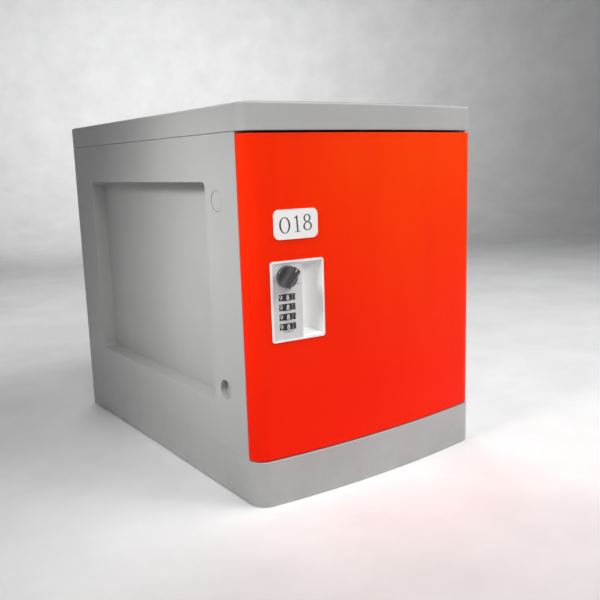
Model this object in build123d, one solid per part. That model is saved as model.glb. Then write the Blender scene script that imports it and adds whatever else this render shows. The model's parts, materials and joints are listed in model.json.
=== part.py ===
from build123d import *
import math
import os

# One cell of a modular moulded-plastic charging locker: a pale grey carcass with a bowed front,
# a wrap-around door, a combination lock set in the door and a small USB charger on the rear wall.
# Frame: X across (hinge side +X), Y front to back (the front faces -Y), Z up.
# Origin: the centre of the overall box, at the surface that the plinth stands on.

# ---- driving dimensions, mm --------------------------------------------------------------------
WIDTH = 320.0
DEPTH = 482.5                   # from the back to the crown of the bowed front
FRONT_Y = -238.48               # that crown; centres the overall box, lock knob included
HEIGHT = 410.0
WALL = 3.0                      # general moulded wall
PLINTH_H = 49.1
PLINTH_EDGE_R = 0.8
COVER_SIDE_H = 27.3
FRONT_ARC_R = 1153.0            # bow of the cover and plinth fronts
CORNER_R = 19.7                 # plan radius where the bow meets the sides
REAR_CORNER_R = 4.5
COVER_EDGE_R = 3.0
SEAM = 0.4                      # visible joint between cover and sides
FIT = 0.3                       # gap between parts that are only laid together

SIDE_RIB_YS = (-188.0, 206.0)   # stiffening ribs inside each side moulding
SIDE_THICK = 20.5               # side moulding, outer face to its open inner edge
LINER_THICK = 2.5
POCKET_DEPTH = 17.5             # recess in the outside of each side
POCKET_FRONT_Y = -146.4
POCKET_REAR_Y = 178.5
POCKET_LOW_Z = 98.5
POCKET_HIGH_Z = 334.5
POCKET_DRAFT = 6.0              # degrees
POCKET_CORNER_R = 6.0

JOIN_Y = -169.4                 # holes for bolting cells side by side
JOIN_LOW_Z = 116.1
JOIN_HIGH_Z = 315.2
JOIN_RECESS_R = 10.7
JOIN_RECESS_DEPTH = 8.0
JOIN_HOLE_R = 5.2
JOIN_BOSS_R = 14.0
LINER_HOLE_R = 8.2
CAP_SET_BACK = 0.2
CAP_FACE = 2.0                  # thickness of a joining cap's face
CAP_GAP = 0.45                  # round the face, inside the recess
CAP_CUP_DEPTH = 3.7             # where the hollow behind the face begins
CAP_RIM = 1.6

DOOR_REAR_Y = -211.2
DOOR_GAP = 0.45                 # door back to carcass front
DOOR_LOW_Z = 49.9
DOOR_HIGH_Z = 380.3
DOOR_SIDE_INSET = 0.2
DOOR_FRONT_INSET = 1.4
DOOR_CORNER_R = 18.0
DOOR_EDGE_R = 1.2
DOOR_PANEL_THICK = 2.5
DOOR_BOSS_R = 4.0
DOOR_BOSS_XS = (0.0, 122.0)
DOOR_BOSS_ZS = (78.0, 216.0, 355.0)
LOCK_SIDE_BOSS_X = -126.0       # above and below the lock only

KNUCKLE_R = 4.5
HINGE_PIN_R = 2.0
PIN_CLEARANCE = 0.06
PIN_IN_DOOR = 12.0
PIN_IN_FRAME = 11.0
PIN_END_GAP = 0.5
WASHER_R = 4.2
WASHER_GAP = 0.1

LOCK_X = -106.4                 # lock bezel centre
LOCK_Z = 214.35
LOCK_W = 62.2
LOCK_H = 82.3
LOCK_CORNER_R = 3.0
RIM_PROUD = 1.0
RIM_W = 2.2
FACE_Z = 0.4                    # lock face above the door skin, along the lock's own axis
FACE_THICK = 2.4
CASE_X0 = -29.4
CASE_X1 = 4.8
CASE_Y = 39.6
CASE_WALL = 1.8
CASE_DEPTH = 25.8
CASE_SCREW_IN = (5.0, 4.6)      # case screws, in from its sides and ends
CASE_SCREW_R = 1.3
CASE_SCREW_HEAD = (2.5, 1.3)    # radius and height
CASE_SCREW_L = 12.0
CASE_BOSS_R = 2.9
REAR_COVER_THICK = 2.0
GRIP_DEPTH = 10.8               # finger pocket
GRIP_WALL = 1.4
GRIP_SILL = 6.5                 # height of the sloping bottom of the finger pocket
DIAL_X = -12.9
KNOB_Y = 25.25
KNOB_R = 11.5
KNOB_BASE_H = 4.2
KNOB_BAR_H = 7.6
KNOB_BAR_W = 12.0
KNOB_ANGLE = 52.0               # grip bar, from the lock's horizontal
KNOB_SHOULDER = 2.4             # chamfer along the grip bar
NOTCH_L = 5.0                   # pointer notch, centred this far in from the knob's edge:
NOTCH_IN = 2.4
NOTCH_W = 1.6
NOTCH_DEPTH = 1.5
SPINDLE_R = 4.0
WINDOW_W = 19.0
WINDOW_H = 7.0
WHEEL_TOP_Y = 4.25
WHEEL_PITCH = 10.0
WHEEL_COUNT = 4
WHEEL_R = 11.6
WHEEL_THICK = 6.2
WHEEL_DROP = 10.2               # wheel axis behind the lock face
WHEEL_DIGITS = 10
AXLE_R = 1.5
COMB_W = 15.0
CAM_Z = -29.7                   # latch blade, front face, behind the door skin
CAM_THICK = 2.5
CAM_REACH = 30.0
CAM_W = 16.0
TAIL_R = 2.5                    # threaded tail of the spindle, and its square in the knob
NUT_THICK = 3.0

PLATE_Z = 291.5                 # number plate
PLATE_W = 50.0
PLATE_X = -106.5
PLATE_H = 29.6
PLATE_THICK = 1.3
PLATE_R = 6.2

FOOT_X = 132.0                  # rubber feet
FOOT_YS = (-193.0, 217.0)
FOOT_R = 9.0
FOOT_BOSS_R = 11.5
FOOT_RECESS = 1.2
FOOT_THICK = 5.0
SKIRT_LIFT = 1.6                # the skirt's sides clear the ground between the corner feet
LIFT_FRONT_Y = -206.4
LIFT_REAR_Y = 218.0
PLINTH_RIB_XS = (-60.0, 60.0)
PLINTH_RIB_YS = (-123.0, 12.0, 147.0)
RIB_DROP = 3.5
RIB_THICK = 2.4
HINGE_BOSS_H = 12.0

SCREW_R = 1.6                   # self-tapping screws
SCREW_HEAD_R = 3.2
SCREW_HEAD_H = 1.2
SCREW_HOLE_R = 1.8              # where a screw passes freely
HEAD_RECESS = 1.2
HEAD_RECESS_R = 3.5
BOSS_R = 4.5
BOSS_H = 10.0
BORE_DEPTH = 9.0
FLOOR_SCREW_X = 118.0
FLOOR_SCREW_YS = (-187.0, 208.0)
COVER_SCREW_X = 113.0
BACK_SCREW_ZS = (80.0, 216.0, 352.0)
BACK_BOSS_L = 11.0
VENT_X = 70.0
VENT_Z = 352.0
VENT_W = 64.0
VENT_H = 5.4
VENT_PITCH = 11.0
VENT_ROWS = 6

STRIKE_THICK = 1.5              # plate that the latch blade hooks behind
STRIKE_MARGIN = 8.5
STRIKE_SCREW_DROP = 4.5
STRIKE_HEAD_R = 2.7
STRIKE_CORNER_R = 2.5
SLOT_HALF = 2.7
SLOT_BELOW = 26.0
SLOT_ABOVE = 9.8
BUMPER_R = 3.0
BUMPER_DEEP = 2.0
BUMPER_PROUD = 0.25
BUMPER_ZS = (90.0, 345.0)
BUMPER_INSET = 10.0

CHARGER_W = 150.0               # USB charger on the rear wall
CHARGER_D = 30.0
CHARGER_H = 52.0
CHARGER_Z = 84.0
CHARGER_WALL = 2.0
CHARGER_CORNER_R = 5.0
BOARD_DEEP = 13.0               # circuit board behind the charger's front
BOARD_THICK = 1.6
TRANSFORMER_XS = (-50.0, -28.0)
TRANSFORMER_ZS = (-20.0, -4.0)  # from the charger's middle
TRANSFORMER_D = 9.0
CAPACITOR_XS = (0.0, 12.0)
CAPACITOR_DROP = 12.0
CAPACITOR_R = 4.5
CAPACITOR_L = 10.0
CHARGER_SCREW_X = 60.0
FACE_PLATE_THICK = 2.0
USB_W = 13.2
USB_H = 5.8
USB_DEEP = 14.0
USB_WALL = 0.4
USB_XS = (-36.0, -12.0)
USB_Z = CHARGER_Z + 4.0
TONGUE_HALF_W = 5.6
TONGUE_ZS = (0.35, 2.0)         # above the socket's middle
LED_X = 14.0
LED_R = 2.0
INLET_X = 40.0                  # mains inlet, two-pin figure-of-eight
INLET_Z = CHARGER_Z
INLET_W = 24.0
INLET_H = 18.0
INLET_FLANGE = 4.0
INLET_DEEP = 12.0
INLET_PIN_X = 4.3
INLET_PIN_R = 1.2
INLET_MOUTH_R = 3.9

# ---- worked-out places -------------------------------------------------------------------------
BACK_Y = FRONT_Y + DEPTH
HALF_W = WIDTH / 2
COVER_Z = HEIGHT - COVER_SIDE_H
ARC_CENTRE_Y = FRONT_Y + FRONT_ARC_R
CARCASS_FRONT_Y = DOOR_REAR_Y + DOOR_GAP
LINER_X = HALF_W - SIDE_THICK
INNER_X = LINER_X - LINER_THICK
BACK_PANEL_Y = BACK_Y - 3.4
BACK_PANEL_HALF = HALF_W - 9.4
DOOR_ARC_R = FRONT_ARC_R - DOOR_FRONT_INSET
FLOOR_TOP_Z = PLINTH_H + WALL
BACK_SCREW_X = LINER_X + 5.6
CHARGER_FRONT_Y = BACK_PANEL_Y - CHARGER_D
SLOT_LOW_Z = LOCK_Z + KNOB_Y - SLOT_BELOW
SLOT_HIGH_Z = LOCK_Z + KNOB_Y + SLOT_ABOVE
BUMPER_X = HALF_W - BUMPER_INSET

KNUCKLE_Y = DOOR_REAR_Y - KNUCKLE_R
CORNER_CX = HALF_W - DOOR_SIDE_INSET - DOOR_CORNER_R
CORNER_CY = ARC_CENTRE_Y - math.sqrt((DOOR_ARC_R - DOOR_CORNER_R) ** 2 - CORNER_CX**2)
KNUCKLE_X = CORNER_CX + math.sqrt(DOOR_CORNER_R**2 - (KNUCKLE_Y - CORNER_CY) ** 2) - KNUCKLE_R

# The lock is built on its own plane, tangent to the bowed door skin at the bezel's centre:
# x towards the hinge, y up, z out of the door.
LOCK_Y = ARC_CENTRE_Y - math.sqrt(DOOR_ARC_R**2 - LOCK_X**2)
LOCK_OUT = Vector(LOCK_X, LOCK_Y - ARC_CENTRE_Y, 0) / DOOR_ARC_R
LOCK_PLANE = Plane(
    origin=(LOCK_X, LOCK_Y, LOCK_Z),
    x_dir=(-LOCK_OUT.Y, LOCK_OUT.X, 0),
    z_dir=LOCK_OUT,
)
AXLE_Z = FACE_Z - WHEEL_DROP
WHEEL_YS = [WHEEL_TOP_Y - WHEEL_PITCH * i for i in range(WHEEL_COUNT)]


# ---- helpers -----------------------------------------------------------------------------------
def save(node, shape):
    shape.label = node
    export_step(shape, f"parts/{node}.step")


def block(x0, x1, y0, y1, z0, z1):
    box = Box(x1 - x0, y1 - y0, z1 - z0, align=(Align.MIN, Align.MIN, Align.MIN))
    return Pos(x0, y0, z0) * box


def upright(x, y, z0, z1, radius):
    rod = Cylinder(radius, z1 - z0, align=(Align.CENTER, Align.CENTER, Align.MIN))
    return Pos(x, y, z0) * rod


def along_x(x0, x1, y, z, radius):
    rod = Cylinder(radius, x1 - x0, align=(Align.CENTER, Align.CENTER, Align.MIN))
    return Pos(x0, y, z) * Rot(0, 90, 0) * rod


def along_y(x, y0, y1, z, radius):
    rod = Cylinder(radius, y1 - y0, align=(Align.CENTER, Align.CENTER, Align.MIN))
    return Pos(x, y0, z) * Rot(-90, 0, 0) * rod


def plan(side_inset, front_inset, corner_r, rear_r=0.0, rear_inset=0.0):
    """Plan outline of the cell: straight back and sides, bowed front, rounded front corners."""
    half = HALF_W - side_inset
    radius = FRONT_ARC_R - front_inset
    crown_y = FRONT_Y + front_inset
    shoulder_y = ARC_CENTRE_Y - math.sqrt(radius**2 - half**2)
    back_y = BACK_Y - rear_inset
    sides = Polyline((half, shoulder_y), (half, back_y), (-half, back_y), (-half, shoulder_y))
    bow = ThreePointArc((-half, shoulder_y), (0, crown_y), (half, shoulder_y))
    face = make_face([sides, bow])
    front = face.vertices().filter_by(lambda v: v.Y < 0)
    face = fillet(front, corner_r)
    if rear_r:
        face = fillet(face.vertices().filter_by(lambda v: v.Y > BACK_Y - rear_inset - 1), rear_r)
    return face


def prism(face, z0, z1):
    return Pos(0, 0, z0) * extrude(face, z1 - z0)


def mirrored(shape):
    return mirror(shape, about=Plane.YZ)


def cap_screw(radius, head_r, head_h, length):
    """A pan-head screw along +Z, its head's underside at z = 0 and its shank below."""
    head = Cylinder(head_r, head_h, align=(Align.CENTER, Align.CENTER, Align.MIN))
    head = fillet(head.edges().group_by(Axis.Z)[-1], head_h * 0.4)
    shank = Pos(0, 0, -length) * Cylinder(
        radius, length, align=(Align.CENTER, Align.CENTER, Align.MIN)
    )
    arm = head_r * 1.1
    slot = Box(arm, head_r * 0.26, head_h) + Box(head_r * 0.26, arm, head_h)
    return head + shank - Pos(0, 0, head_h) * slot


# ---- carcass -----------------------------------------------------------------------------------
def base_plinth():
    """A skirt and deck, open below, with a ribbed deck and bosses for feet, screws and the hinge."""
    deck_z = PLINTH_H - WALL
    body = prism(plan(0, 0, CORNER_R, REAR_CORNER_R), 0, PLINTH_H)
    body = fillet(body.edges().group_by(Axis.Z)[-1], PLINTH_EDGE_R)
    body -= prism(plan(WALL, WALL, CORNER_R - WALL, REAR_CORNER_R - WALL, WALL), 0, deck_z)
    body -= block(-HALF_W, HALF_W, LIFT_FRONT_Y, LIFT_REAR_Y, 0, SKIRT_LIFT)
    for y in PLINTH_RIB_YS:
        body += block(WALL - HALF_W, HALF_W - WALL, y, y + RIB_THICK, deck_z - RIB_DROP, deck_z)
    for x in PLINTH_RIB_XS:
        body += block(x, x + RIB_THICK, FOOT_YS[0], BACK_Y - WALL, deck_z - RIB_DROP, deck_z)
    body += upright(KNUCKLE_X, KNUCKLE_Y, deck_z - HINGE_BOSS_H, deck_z, KNUCKLE_R)
    for x, y in foot_places():
        body += upright(x, y, FOOT_RECESS, deck_z, FOOT_BOSS_R)
        body -= upright(x, y, FOOT_RECESS, FOOT_THICK, FOOT_R)
    for x, y in floor_screw_places():
        body += upright(x, y, deck_z - BOSS_H, deck_z, BOSS_R)
        body -= upright(x, y, deck_z - BORE_DEPTH, PLINTH_H, SCREW_R)
    body -= upright(KNUCKLE_X, KNUCKLE_Y, PLINTH_H - PIN_IN_FRAME, PLINTH_H, HINGE_PIN_R)
    return body


def foot_places():
    return [(sx * FOOT_X, y) for sx in (-1, 1) for y in FOOT_YS]


def floor_screw_places():
    return [(sx * FLOOR_SCREW_X, y) for sx in (-1, 1) for y in FLOOR_SCREW_YS]


def rubber_feet():
    """Four round pads pressed into the plinth's corner bosses; they carry the cell."""
    feet = []
    for x, y in foot_places():
        pad = upright(0, 0, 0, FOOT_THICK, FOOT_R)
        pad = fillet(pad.edges().group_by(Axis.Z)[0], PLINTH_EDGE_R)
        feet.append(Pos(x, y, 0) * pad)
    return Compound(feet)


def floor_panel():
    panel = block(-INNER_X + FIT, INNER_X - FIT, CARCASS_FRONT_Y, BACK_PANEL_Y - FIT,
                  PLINTH_H, FLOOR_TOP_Z)
    panel = fillet(panel.edges().group_by(Axis.Y)[0].filter_by(Axis.X).sort_by(Axis.Z)[-1], 1.5)
    for x, y in floor_screw_places():
        panel -= upright(x, y, PLINTH_H, FLOOR_TOP_Z, SCREW_HOLE_R)
        panel -= upright(x, y, FLOOR_TOP_Z - HEAD_RECESS, FLOOR_TOP_Z, HEAD_RECESS_R)
    return panel


def floor_screws():
    screw = cap_screw(SCREW_R, SCREW_HEAD_R, SCREW_HEAD_H, BORE_DEPTH)
    z = FLOOR_TOP_Z - HEAD_RECESS
    return Compound([Pos(x, y, z) * screw for x, y in floor_screw_places()])


def side_panel():
    """The -X side: a moulding open inwards, with a drafted recess in its outer face."""
    top_z = COVER_Z - SEAM
    slab = block(-HALF_W, -LINER_X, CARCASS_FRONT_Y, BACK_Y, PLINTH_H, top_z)
    panel = prism(plan(0, 0, CORNER_R, REAR_CORNER_R), PLINTH_H, top_z) & slab
    panel -= block(-HALF_W + WALL, -LINER_X, CARCASS_FRONT_Y + WALL, BACK_PANEL_Y - WALL,
                   PLINTH_H + WALL, top_z - WALL)
    panel += pocket_block(WALL) & slab
    panel -= pocket_block(0)
    for y in SIDE_RIB_YS:
        panel += block(-HALF_W + 1, -LINER_X, y, y + RIB_THICK, PLINTH_H, top_z)
    for z in (JOIN_LOW_Z, JOIN_HIGH_Z):
        panel += along_x(-HALF_W + 1, -LINER_X, JOIN_Y, z, JOIN_BOSS_R)
        panel -= along_x(-HALF_W, -HALF_W + JOIN_RECESS_DEPTH, JOIN_Y, z, JOIN_RECESS_R)
        panel -= along_x(-HALF_W, -LINER_X, JOIN_Y, z, JOIN_HOLE_R)
    for z in BACK_SCREW_ZS:
        panel += along_y(-BACK_SCREW_X, BACK_PANEL_Y - WALL - BACK_BOSS_L, BACK_PANEL_Y - WALL, z,
                         BOSS_R)
        panel -= along_y(-BACK_SCREW_X, BACK_PANEL_Y - BACK_BOSS_L - 1, BACK_PANEL_Y, z, SCREW_R)
    panel -= block(-BACK_PANEL_HALF - FIT, -LINER_X, BACK_PANEL_Y, BACK_Y, PLINTH_H, top_z)
    return panel


def pocket_block(grow):
    """The recess in the side, or with grow the thicker block that holds its walls."""
    wide = Plane(origin=(-HALF_W, 0, 0), x_dir=(0, 1, 0), z_dir=(1, 0, 0))
    outline = Rectangle(
        POCKET_REAR_Y - POCKET_FRONT_Y + 2 * grow, POCKET_HIGH_Z - POCKET_LOW_Z + 2 * grow
    )
    outline = fillet(outline.vertices(), POCKET_CORNER_R + grow)
    centre = Pos((POCKET_REAR_Y + POCKET_FRONT_Y) / 2, (POCKET_HIGH_Z + POCKET_LOW_Z) / 2)
    depth = SIDE_THICK if grow else POCKET_DEPTH
    return extrude(wide * centre * outline, depth, taper=POCKET_DRAFT)


def inner_liner():
    """The -X liner: a flat sheet that closes the side moulding and makes the cell's smooth wall."""
    liner = block(-LINER_X, -INNER_X, CARCASS_FRONT_Y, BACK_PANEL_Y - FIT, PLINTH_H, COVER_Z - SEAM)
    for z in (JOIN_LOW_Z, JOIN_HIGH_Z):
        liner -= along_x(-LINER_X, -INNER_X, JOIN_Y, z, LINER_HOLE_R)
    return liner


def slot_y():
    """Where the latch blade's middle crosses the liner, in the cell's own Y."""
    reach = (-INNER_X - LOCK_X - LINER_THICK / 2) / LOCK_PLANE.x_dir.X
    middle = LOCK_PLANE.origin + LOCK_PLANE.x_dir * reach
    return (middle + LOCK_PLANE.z_dir * (CAM_Z - CAM_THICK / 2)).Y


def cam_slot():
    return block(-LINER_X - 1, -INNER_X + 5, slot_y() - SLOT_HALF, slot_y() + SLOT_HALF,
                 SLOT_LOW_Z, SLOT_HIGH_Z)


def strike_screw_zs():
    return (SLOT_LOW_Z - STRIKE_SCREW_DROP, SLOT_HIGH_Z + STRIKE_SCREW_DROP)


def strike_plate():
    plate = block(-INNER_X, -INNER_X + STRIKE_THICK, slot_y() - STRIKE_MARGIN,
                  slot_y() + STRIKE_MARGIN, SLOT_LOW_Z - STRIKE_MARGIN, SLOT_HIGH_Z + STRIKE_MARGIN)
    plate = fillet(plate.edges().filter_by(Axis.X), STRIKE_CORNER_R)
    plate -= cam_slot()
    for z in strike_screw_zs():
        plate -= along_x(-INNER_X, -INNER_X + STRIKE_THICK, slot_y(), z, SCREW_R)
    return plate


def strike_screws():
    screw = cap_screw(SCREW_R, STRIKE_HEAD_R, SCREW_HEAD_H, STRIKE_THICK + LINER_THICK)
    place = Pos(-INNER_X + STRIKE_THICK, slot_y(), 0) * Rot(0, 90, 0)
    return Compound([Pos(0, 0, z) * place * screw for z in strike_screw_zs()])


def back_panel():
    """The rear sheet, with two banks of cooling slots and the charger's mains inlet cut-out."""
    panel = block(-BACK_PANEL_HALF, BACK_PANEL_HALF, BACK_PANEL_Y, BACK_PANEL_Y + WALL,
                  PLINTH_H + FIT, COVER_Z - SEAM - FIT)
    slot = fillet(Box(VENT_W, 2 * WALL, VENT_H).edges().filter_by(Axis.Y), VENT_H * 0.48)
    for sx in (-1, 1):
        for row in range(VENT_ROWS):
            panel -= Pos(sx * VENT_X, BACK_PANEL_Y + WALL / 2, VENT_Z - row * VENT_PITCH) * slot
    panel -= inlet_cut_out()
    rear = BACK_PANEL_Y + WALL
    for x, z in back_screw_places() + charger_screw_places():
        panel -= along_y(x, BACK_PANEL_Y, rear, z, SCREW_HOLE_R)
        panel -= along_y(x, rear - HEAD_RECESS, rear, z, HEAD_RECESS_R)
    return panel


def inlet_cut_out():
    cut = Box(INLET_W + 0.4, 3 * WALL, INLET_H + 0.4)
    return Pos(INLET_X, BACK_PANEL_Y + WALL / 2, INLET_Z) * cut


def back_screw_places():
    return [(sx * BACK_SCREW_X, z) for sx in (-1, 1) for z in BACK_SCREW_ZS]


def charger_screw_places():
    return [(sx * CHARGER_SCREW_X, CHARGER_Z) for sx in (-1, 1)]


def rear_screws(places):
    """Screws driven forwards through the back panel, their heads sunk flush."""
    screw = Rot(-90, 0, 0) * cap_screw(SCREW_R, SCREW_HEAD_R, SCREW_HEAD_H, BORE_DEPTH)
    y = BACK_PANEL_Y + WALL - HEAD_RECESS
    return Compound([Pos(x, y, z) * screw for x, z in places])


def cover_screw_places():
    return [(sx * COVER_SCREW_X, y) for sx in (-1, 1) for y in FLOOR_SCREW_YS]


def ceiling_panel():
    """The sheet that closes the cover from below; a corner notch lets the hinge boss through."""
    inset = WALL + FIT
    face = plan(inset, inset, CORNER_R - inset, REAR_CORNER_R - WALL, inset)
    panel = prism(face, COVER_Z, COVER_Z + WALL)
    panel -= upright(KNUCKLE_X, KNUCKLE_Y, COVER_Z, COVER_Z + WALL, KNUCKLE_R + 1.5)
    panel -= block(KNUCKLE_X, HALF_W, FRONT_Y, KNUCKLE_Y, COVER_Z, COVER_Z + WALL)
    for x, y in cover_screw_places():
        panel -= upright(x, y, COVER_Z, COVER_Z + WALL, SCREW_HOLE_R)
    return panel


def top_cover():
    cover = prism(plan(0, 0, CORNER_R, REAR_CORNER_R), COVER_Z, HEIGHT)
    cover = fillet(cover.edges().group_by(Axis.Z)[-1], COVER_EDGE_R)
    cover = chamfer(cover.edges().group_by(Axis.Z)[0], 0.5)
    cover -= prism(plan(WALL, WALL, CORNER_R - WALL, REAR_CORNER_R - WALL, WALL),
                   COVER_Z, HEIGHT - WALL)
    ceiling_top = COVER_Z + WALL
    cover += upright(KNUCKLE_X, KNUCKLE_Y, COVER_Z, HEIGHT - WALL, KNUCKLE_R)
    cover -= upright(KNUCKLE_X, KNUCKLE_Y, COVER_Z, COVER_Z + PIN_IN_FRAME, HINGE_PIN_R)
    for x, y in cover_screw_places():
        cover += upright(x, y, ceiling_top, HEIGHT - WALL, BOSS_R)
        cover -= upright(x, y, ceiling_top, ceiling_top + BOSS_H, SCREW_R)
    return cover


def cover_screws():
    screw = Rot(180, 0, 0) * cap_screw(SCREW_R, SCREW_HEAD_R, SCREW_HEAD_H, WALL + BORE_DEPTH)
    return Compound([Pos(x, y, COVER_Z) * screw for x, y in cover_screw_places()])


def joining_caps():
    """Snap caps, flush with the sides, that close the upper joining holes when a cell ends a row."""
    face_x = CAP_SET_BACK - HALF_W
    foot_x = JOIN_RECESS_DEPTH - HALF_W
    cap = along_x(face_x, face_x + CAP_FACE, JOIN_Y, JOIN_HIGH_Z, JOIN_RECESS_R - CAP_GAP)
    cap += along_x(CAP_FACE - HALF_W, foot_x, JOIN_Y, JOIN_HIGH_Z, JOIN_RECESS_R - CAP_RIM)
    cap -= along_x(CAP_CUP_DEPTH - HALF_W, foot_x, JOIN_Y, JOIN_HIGH_Z, JOIN_RECESS_R - 2 * CAP_RIM)
    cap = fillet(cap.edges().group_by(Axis.X)[0], 0.5)
    return Compound([cap, mirrored(cap)])


def bumper_places():
    return [(-BUMPER_X, z) for z in BUMPER_ZS]


def door_bumpers():
    """Small rubber buttons in the carcass front edge that the closed door rests against."""
    y = CARCASS_FRONT_Y
    pads = [along_y(x, y - BUMPER_PROUD, y + BUMPER_DEEP, z, BUMPER_R) for x, z in bumper_places()]
    return Compound([fillet(p.edges().group_by(Axis.Y)[0], 0.2) for p in pads])


# ---- hinge -------------------------------------------------------------------------------------
def hinge_pin(z0, z1):
    """A steel pin on the hinge line: pressed into the frame at one end, free in the door."""
    pin = upright(KNUCKLE_X, KNUCKLE_Y, z0, z1, HINGE_PIN_R)
    return chamfer(pin.edges().filter_by(GeomType.CIRCLE), 0.3)


def lower_hinge_pin():
    return hinge_pin(PLINTH_H - PIN_IN_FRAME, DOOR_LOW_Z + PIN_IN_DOOR - PIN_END_GAP)


def upper_hinge_pin():
    return hinge_pin(DOOR_HIGH_Z - PIN_IN_DOOR + PIN_END_GAP, COVER_Z + PIN_IN_FRAME)


def hinge_washer():
    """The nylon thrust washer under the door's knuckle, which takes the door's weight."""
    ring = upright(KNUCKLE_X, KNUCKLE_Y, PLINTH_H, DOOR_LOW_Z - WASHER_GAP, WASHER_R)
    return ring - upright(KNUCKLE_X, KNUCKLE_Y, PLINTH_H, DOOR_LOW_Z, HINGE_PIN_R + 0.15)


# ---- door --------------------------------------------------------------------------------------
def door_plan(grow_in):
    return plan(DOOR_SIDE_INSET + grow_in, DOOR_FRONT_INSET + grow_in, DOOR_CORNER_R - grow_in)


def ahead_of(y, z0, z1):
    return block(-HALF_W, HALF_W, FRONT_Y - 5, y, z0, z1)


def knuckle_relief(z0, z1):
    """What is cut from the door's rear hinge corner so that it rolls about the hinge line."""
    corner = block(KNUCKLE_X, HALF_W, KNUCKLE_Y, DOOR_REAR_Y + 1, z0, z1)
    return corner - upright(KNUCKLE_X, KNUCKLE_Y, z0, z1, KNUCKLE_R)


def door_boss_places():
    lock_side = [(LOCK_SIDE_BOSS_X, z) for z in (DOOR_BOSS_ZS[0], DOOR_BOSS_ZS[-1])]
    return lock_side + [(x, z) for x in DOOR_BOSS_XS for z in DOOR_BOSS_ZS]


def lock_hole(depth_in, x1):
    hole = block(CASE_X0 - FIT, x1, -CASE_Y - FIT, CASE_Y + FIT, depth_in, 6)
    return LOCK_PLANE.location * hole


def door_shell():
    """The coloured outer skin: bowed front, wrapped ends, a solid hinge column at +X."""
    z0, z1 = DOOR_LOW_Z, DOOR_HIGH_Z
    shell = prism(door_plan(0), z0, z1)
    shell = fillet(shell.edges().group_by(Axis.Z)[-1] + shell.edges().group_by(Axis.Z)[0], DOOR_EDGE_R)
    shell &= ahead_of(DOOR_REAR_Y, z0, z1)
    cavity = prism(door_plan(WALL), z0 + WALL, z1 - WALL)
    shell -= cavity & ahead_of(DOOR_REAR_Y, z0, z1)
    shell += upright(KNUCKLE_X, KNUCKLE_Y, z0, z1, KNUCKLE_R) & prism(door_plan(0), z0, z1)
    shell -= knuckle_relief(z0, z1)
    for x, z in door_boss_places():
        skin_y = ARC_CENTRE_Y - math.sqrt((DOOR_ARC_R - 1) ** 2 - x**2)
        shell += along_y(x, skin_y, DOOR_REAR_Y - DOOR_PANEL_THICK, z, DOOR_BOSS_R)
        shell -= along_y(x, DOOR_REAR_Y - HEAD_RECESS - BORE_DEPTH, DOOR_REAR_Y, z, SCREW_R)
    bore_r = HINGE_PIN_R + PIN_CLEARANCE
    shell -= upright(KNUCKLE_X, KNUCKLE_Y, z0, z0 + PIN_IN_DOOR, bore_r)
    shell -= upright(KNUCKLE_X, KNUCKLE_Y, z1 - PIN_IN_DOOR, z1, bore_r)
    shell -= lock_hole(-12, LOCK_W / 2 - 0.8)
    return shell


def door_inner_panel():
    """The flat sheet that closes the back of the door."""
    z0, z1 = DOOR_LOW_Z + WALL + FIT, DOOR_HIGH_Z - WALL - FIT
    y0 = DOOR_REAR_Y - DOOR_PANEL_THICK
    panel = prism(door_plan(WALL + FIT), z0, z1)
    panel &= block(-HALF_W, HALF_W, y0, DOOR_REAR_Y, z0, z1)
    panel -= upright(KNUCKLE_X, KNUCKLE_Y, z0, z1, KNUCKLE_R + FIT)
    panel -= block(KNUCKLE_X - 2, HALF_W, y0, DOOR_REAR_Y, z0, z1)
    for x, z in door_boss_places():
        panel -= along_y(x, y0, DOOR_REAR_Y, z, SCREW_HOLE_R)
        panel -= along_y(x, DOOR_REAR_Y - HEAD_RECESS, DOOR_REAR_Y, z, HEAD_RECESS_R)
    panel -= lock_hole(-30, CASE_X1 + FIT)
    return panel


def door_screws():
    screw = Rot(-90, 0, 0) * cap_screw(SCREW_R, SCREW_HEAD_R, SCREW_HEAD_H - 0.1, BORE_DEPTH - 1)
    y = DOOR_REAR_Y - HEAD_RECESS
    return Compound([Pos(x, y, z) * screw for x, z in door_boss_places()])


def number_plate():
    """The cell's number plate, which follows the bow of the door skin."""
    outline = Plane.XZ * RectangleRounded(PLATE_W, PLATE_H, PLATE_R)
    block_y = Pos(PLATE_X, 0, PLATE_Z) * extrude(outline, 400)
    z0, z1 = PLATE_Z - PLATE_H, PLATE_Z + PLATE_H
    outer = upright(0, ARC_CENTRE_Y, z0, z1, DOOR_ARC_R + PLATE_THICK)
    inner = upright(0, ARC_CENTRE_Y, z0, z1, DOOR_ARC_R)
    return (outer - inner) & block_y


# ---- lock, on the lock plane -------------------------------------------------------------------
def grip_profile(grow):
    """Section of the finger pocket: a steep wall beside the dials and a scoop out to the rim."""
    x0 = CASE_X1
    x1 = LOCK_W / 2 - RIM_W
    deep = -GRIP_DEPTH - grow
    wall = Polyline((x1 + grow, FACE_Z), (x0 - grow, FACE_Z), (x0 - grow, deep + 3))
    foot = ThreePointArc((x0 - grow, deep + 3), (x0 + 1 - grow, deep + 1), (x0 + 3, deep))
    scoop = ThreePointArc((x0 + 3, deep), (x0 + 16, deep + 3.2), (x1 + grow, FACE_Z))
    return Plane.XZ * make_face([wall, foot, scoop])


def grip(grow):
    """The pocket's scoop, closed at the top by a square wall and at the bottom by a sloping sill."""
    high = CASE_Y - GRIP_WALL + grow
    scoop = Pos(0, high, 0) * extrude(grip_profile(grow), 2 * high)
    deep = -GRIP_DEPTH - grow
    corners = [(-high, FACE_Z), (GRIP_SILL - high, deep), (high, deep), (high, FACE_Z)]
    section = Plane.YZ * make_face(Polyline(*corners, close=True))
    return scoop & extrude(section, LOCK_W)


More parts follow.
